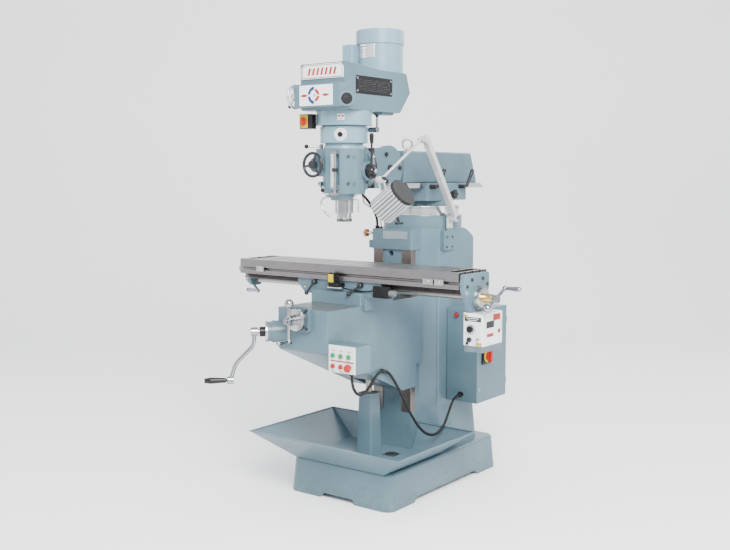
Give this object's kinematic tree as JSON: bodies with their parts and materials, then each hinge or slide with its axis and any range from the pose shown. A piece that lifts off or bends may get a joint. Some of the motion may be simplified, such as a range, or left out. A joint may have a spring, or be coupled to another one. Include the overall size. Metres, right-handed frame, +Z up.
{
  "type": "turret milling machine",
  "caption": "Floor-standing turret milling machine with a variable-speed head on a sliding ram, a knee, saddle and slotted table, chip tray, cabinet and work lamp.",
  "frame": {"origin": "centre of the base's underside, on the floor, amid the four anchor holes", "axes": "+X to the operator's right along the table, -Y towards the operator, +Z up"},
  "size_m": [1.6263, 1.6339, 2.266],
  "materials": {
    "grey_casting_paint": "satin hammered grey-blue enamel",
    "sheet_paint": "gloss grey-blue enamel on sheet",
    "ground_steel": "ground",
    "turned_steel": "turned, bright",
    "chrome_steel": "polished",
    "black_plastic": "satin",
    "white_housing": "gloss",
    "green_plastic": "gloss",
    "red_plastic": "gloss",
    "copper_knob": "cast",
    "lamp_alloy": "satin",
    "grey_hose": "satin"
  },
  "bodies": {
    "frame": {"column_casting": "grey_casting_paint", "screw_pedestal": "grey_casting_paint", "chip_tray": "sheet_paint", "column_fittings": "sheet_paint", "cabinet_body": "sheet_paint", "lamp_bracket": "grey_casting_paint", "knee_conduit": "grey_hose", "head_conduit": "grey_hose", "coolant_hose": "grey_hose"},
    "valve_knob": {"valve_knob": "copper_knob"},
    "cabinet_door": {"cabinet_door": "sheet_paint"},
    "main_switch_knob": {"main_switch_knob": "red_plastic"},
    "lamp_lower_arm": {"lamp_lower_arm": "sheet_paint"},
    "lamp_upper_rod": {"lamp_upper_rod": "turned_steel"},
    "lamp_head": {"lamp_head": "lamp_alloy"},
    "knee": {"knee_casting": "grey_casting_paint", "knee_brackets": "grey_casting_paint", "control_box": "sheet_paint"},
    "knee_screw": {"knee_screw": "turned_steel"},
    "knee_crank": {"knee_crank": "chrome_steel"},
    "saddle": {"saddle_casting": "grey_casting_paint", "limit_switch": "black_plastic"},
    "cross_crank": {"cross_crank": "chrome_steel"},
    "table_lock_left": {"table_lock_left": "black_plastic"},
    "table_lock_right": {"table_lock_right": "black_plastic"},
    "table": {"table_casting": "ground_steel", "table_end_brackets": "grey_casting_paint", "table_dogs": "ground_steel", "power_feed": "white_housing"},
    "table_screw": {"table_screw": "chrome_steel"},
    "power_feed_lever": {"power_feed_lever": "black_plastic"},
    "turret": {"turret_casting": "grey_casting_paint"},
    "ram_lock_front": {"ram_lock_front": "black_plastic"},
    "ram_lock_rear": {"ram_lock_rear": "black_plastic"},
    "ram": {"ram_casting": "grey_casting_paint"},
    "ram_pinion_knob": {"ram_pinion_knob": "black_plastic"},
    "knuckle": {"ram_knuckle": "grey_casting_paint"},
    "head": {"quill_housing": "grey_casting_paint", "gear_housing": "grey_casting_paint", "belt_housing": "grey_casting_paint", "motor": "grey_casting_paint", "switch_box": "black_plastic", "depth_stop": "turned_steel", "coolant_nozzle": "turned_steel"},
    "switch_knob": {"switch_knob": "red_plastic"},
    "speed_wheel": {"speed_wheel": "black_plastic"},
    "fine_feed_wheel": {"fine_feed_wheel": "black_plastic"},
    "hi_lo_lever": {"hi_lo_lever": "black_plastic"},
    "brake_lever": {"brake_lever": "black_plastic"},
    "trip_lever": {"trip_lever": "black_plastic"},
    "quill_lever": {"quill_lever": "black_plastic"},
    "depth_nut": {"depth_nut": "turned_steel"},
    "quill": {"quill": "turned_steel"},
    "spindle": {"spindle": "turned_steel"},
    "button_green_1": {"button_green_1": "green_plastic"},
    "button_green_2": {"button_green_2": "green_plastic"},
    "button_green_3": {"button_green_3": "green_plastic"},
    "button_red_1": {"button_red_1": "red_plastic"},
    "button_red_2": {"button_red_2": "red_plastic"},
    "stop_button": {"stop_button": "red_plastic"}
  },
  "joints": [
    {"name": "knee_slide", "type": "slide", "parent": "frame", "child": "knee", "axis": [0, 0, -1], "range_m": [-0.1, 0.3], "deforming": ["knee_conduit"]},
    {"name": "saddle_slide", "type": "slide", "parent": "knee", "child": "saddle", "axis": [0, 1, 0], "range_m": [-0.15, 0.15]},
    {"name": "table_slide", "type": "slide", "parent": "saddle", "child": "table", "axis": [1, 0, 0], "range_m": [-0.33, 0.379]},
    {"name": "turret_swivel", "type": "hinge", "parent": "frame", "child": "turret", "pos_m": [0, 0.225, 1.386], "axis": [0, 0, 1], "range_deg": [-90, 3]},
    {"name": "ram_slide", "type": "slide", "parent": "turret", "child": "ram", "axis": [0, -1, 0], "range_m": [-0.12, 0.25], "deforming": ["head_conduit", "coolant_hose"]},
    {"name": "head_nod", "type": "hinge", "parent": "ram", "child": "knuckle", "pos_m": [0, -0.215, 1.6], "axis": [1, 0, 0], "range_deg": [-45, 45]},
    {"name": "head_tilt", "type": "hinge", "parent": "knuckle", "child": "head", "pos_m": [0, -0.345, 1.6], "axis": [0, 1, 0], "range_deg": [-90, 30]},
    {"name": "quill_slide", "type": "slide", "parent": "head", "child": "quill", "axis": [0, 0, -1], "range_m": [0, 0.127]},
    {"name": "lamp_base_hinge", "type": "hinge", "parent": "frame", "child": "lamp_lower_arm", "pos_m": [0.242, 0.159, 1.353], "axis": [-1, 0, 0], "range_deg": [0, 40]},
    {"name": "lamp_elbow_hinge", "type": "hinge", "parent": "lamp_lower_arm", "child": "lamp_upper_rod", "pos_m": [0.274, -0.2, 1.734], "axis": [-1, 0, 0], "range_deg": [-8, 40]},
    {"name": "lamp_head_hinge", "type": "hinge", "parent": "lamp_upper_rod", "child": "lamp_head", "pos_m": [0.311, -0.575, 1.546], "axis": [1, 0, 0], "range_deg": [-50, 35]},
    {"name": "cabinet_door_hinge", "type": "hinge", "parent": "frame", "child": "cabinet_door", "pos_m": [0.3775, 0.453, 0.65], "axis": [0, 0, 1], "range_deg": [0, 105]},
    {"name": "spindle_spin", "type": "hinge", "parent": "quill", "child": "spindle", "pos_m": [0, -0.443, 1.45], "axis": [0, 0, 1], "continuous": true},
    {"name": "fine_feed_spin", "type": "hinge", "parent": "head", "child": "fine_feed_wheel", "pos_m": [-0.095, -0.56, 1.615], "axis": [0, 1, 0], "continuous": true},
    {"name": "speed_wheel_turn", "type": "hinge", "parent": "head", "child": "speed_wheel", "pos_m": [-0.15, -0.618, 1.927], "axis": [1, 0, 0], "range_deg": [-300, 300]},
    {"name": "main_switch_turn", "type": "hinge", "parent": "cabinet_door", "child": "main_switch_knob", "pos_m": [0.39, 0.238, 0.646], "axis": [1, 0, 0], "range_deg": [0, 90]},
    {"name": "head_switch_turn", "type": "hinge", "parent": "head", "child": "switch_knob", "pos_m": [-0.135, -0.57, 1.816], "axis": [0, 1, 0], "range_deg": [-60, 60]},
    {"name": "hi_lo_turn", "type": "hinge", "parent": "head", "child": "hi_lo_lever", "pos_m": [0.12, -0.372, 1.778], "axis": [1, 0, 0], "range_deg": [-25, 25]},
    {"name": "brake_turn", "type": "hinge", "parent": "head", "child": "brake_lever", "pos_m": [-0.1, -0.49, 1.7], "axis": [0, 0, 1], "range_deg": [-25, 25]},
    {"name": "trip_turn", "type": "hinge", "parent": "head", "child": "trip_lever", "pos_m": [-0.066, -0.55, 1.526], "axis": [0, 1, 0], "range_deg": [-30, 30]},
    {"name": "depth_nut_slide", "type": "slide", "parent": "head", "child": "depth_nut", "axis": [0, 0, 1], "range_m": [-0.065, 0.06]},
    {"name": "table_lock_left_turn", "type": "hinge", "parent": "saddle", "child": "table_lock_left", "pos_m": [-0.139, -0.5, 1.056], "axis": [0, 1, 0], "range_deg": [-10, 25]},
    {"name": "table_lock_right_turn", "type": "hinge", "parent": "saddle", "child": "table_lock_right", "pos_m": [0.139, -0.5, 1.056], "axis": [0, 1, 0], "range_deg": [-10, 25]},
    {"name": "ram_lock_front_turn", "type": "hinge", "parent": "turret", "child": "ram_lock_front", "pos_m": [0.16, 0.07, 1.508], "axis": [1, 0, 0], "range_deg": [-40, 40]},
    {"name": "ram_lock_rear_turn", "type": "hinge", "parent": "turret", "child": "ram_lock_rear", "pos_m": [0.16, 0.345, 1.508], "axis": [1, 0, 0], "range_deg": [-40, 40]},
    {"name": "valve_turn", "type": "hinge", "parent": "frame", "child": "valve_knob", "pos_m": [-0.15, -0.054, 1.272], "axis": [1, 0, 0], "range_deg": [0, 270]},
    {"name": "power_feed_lever_turn", "type": "hinge", "parent": "table", "child": "power_feed_lever", "pos_m": [0.694, -0.44, 0.85], "axis": [0, 1, 0], "range_deg": [-30, 30]},
    {"name": "button_green_1_press", "type": "slide", "parent": "knee", "child": "button_green_1", "axis": [0, 1, 0], "range_m": [0, 0.004], "stiffness_N_per_m": 500, "springref_m": -0.001},
    {"name": "button_green_2_press", "type": "slide", "parent": "knee", "child": "button_green_2", "axis": [0, 1, 0], "range_m": [0, 0.004], "stiffness_N_per_m": 500, "springref_m": -0.001},
    {"name": "button_green_3_press", "type": "slide", "parent": "knee", "child": "button_green_3", "axis": [0, 1, 0], "range_m": [0, 0.004], "stiffness_N_per_m": 500, "springref_m": -0.001},
    {"name": "button_red_1_press", "type": "slide", "parent": "knee", "child": "button_red_1", "axis": [0, 1, 0], "range_m": [0, 0.004], "stiffness_N_per_m": 500, "springref_m": -0.001},
    {"name": "button_red_2_press", "type": "slide", "parent": "knee", "child": "button_red_2", "axis": [0, 1, 0], "range_m": [0, 0.004], "stiffness_N_per_m": 500, "springref_m": -0.001},
    {"name": "stop_button_press", "type": "slide", "parent": "knee", "child": "stop_button", "axis": [0, 1, 0], "range_m": [0, 0.005], "stiffness_N_per_m": 600, "springref_m": -0.001},
    {"name": "knee_screw_turn", "type": "hinge", "parent": "knee", "child": "knee_screw", "pos_m": [0, -0.245, 0.7], "axis": [0, 0, 1], "range_deg": [-7300, 21700]},
    {"name": "knee_crank_turn", "type": "hinge", "parent": "knee", "child": "knee_crank", "pos_m": [-0.14, -0.738, 0.846], "axis": [-0.7071, -0.7071, 0], "range_deg": [-7300, 21700]},
    {"name": "cross_crank_turn", "type": "hinge", "parent": "knee", "child": "cross_crank", "pos_m": [0, -0.8, 0.918], "axis": [0, 1, 0], "range_deg": [-11000, 11000]},
    {"name": "table_screw_turn", "type": "hinge", "parent": "table", "child": "table_screw", "pos_m": [0, -0.38, 1.03], "axis": [1, 0, 0], "range_deg": [-30500, 27500]},
    {"name": "ram_pinion_turn", "type": "hinge", "parent": "turret", "child": "ram_pinion_knob", "pos_m": [0.16, 0.255, 1.47], "axis": [1, 0, 0], "range_deg": [-300, 600]},
    {"name": "quill_lever_turn", "type": "hinge", "parent": "head", "child": "quill_lever", "pos_m": [0.13, -0.395, 1.586], "axis": [1, 0, 0], "range_deg": [-1, 316]}
  ],
  "couplings": [
    {"joint": "knee_screw_turn", "follows": "knee_slide", "rad_per_m": 1256.6},
    {"joint": "knee_crank_turn", "follows": "knee_slide", "rad_per_m": 1256.6},
    {"joint": "cross_crank_turn", "follows": "saddle_slide", "rad_per_m": 1256.6},
    {"joint": "table_screw_turn", "follows": "table_slide", "rad_per_m": 1256.6},
    {"joint": "ram_pinion_turn", "follows": "ram_slide", "rad_per_m": 40},
    {"joint": "quill_lever_turn", "follows": "quill_slide", "rad_per_m": 43}
  ]
}
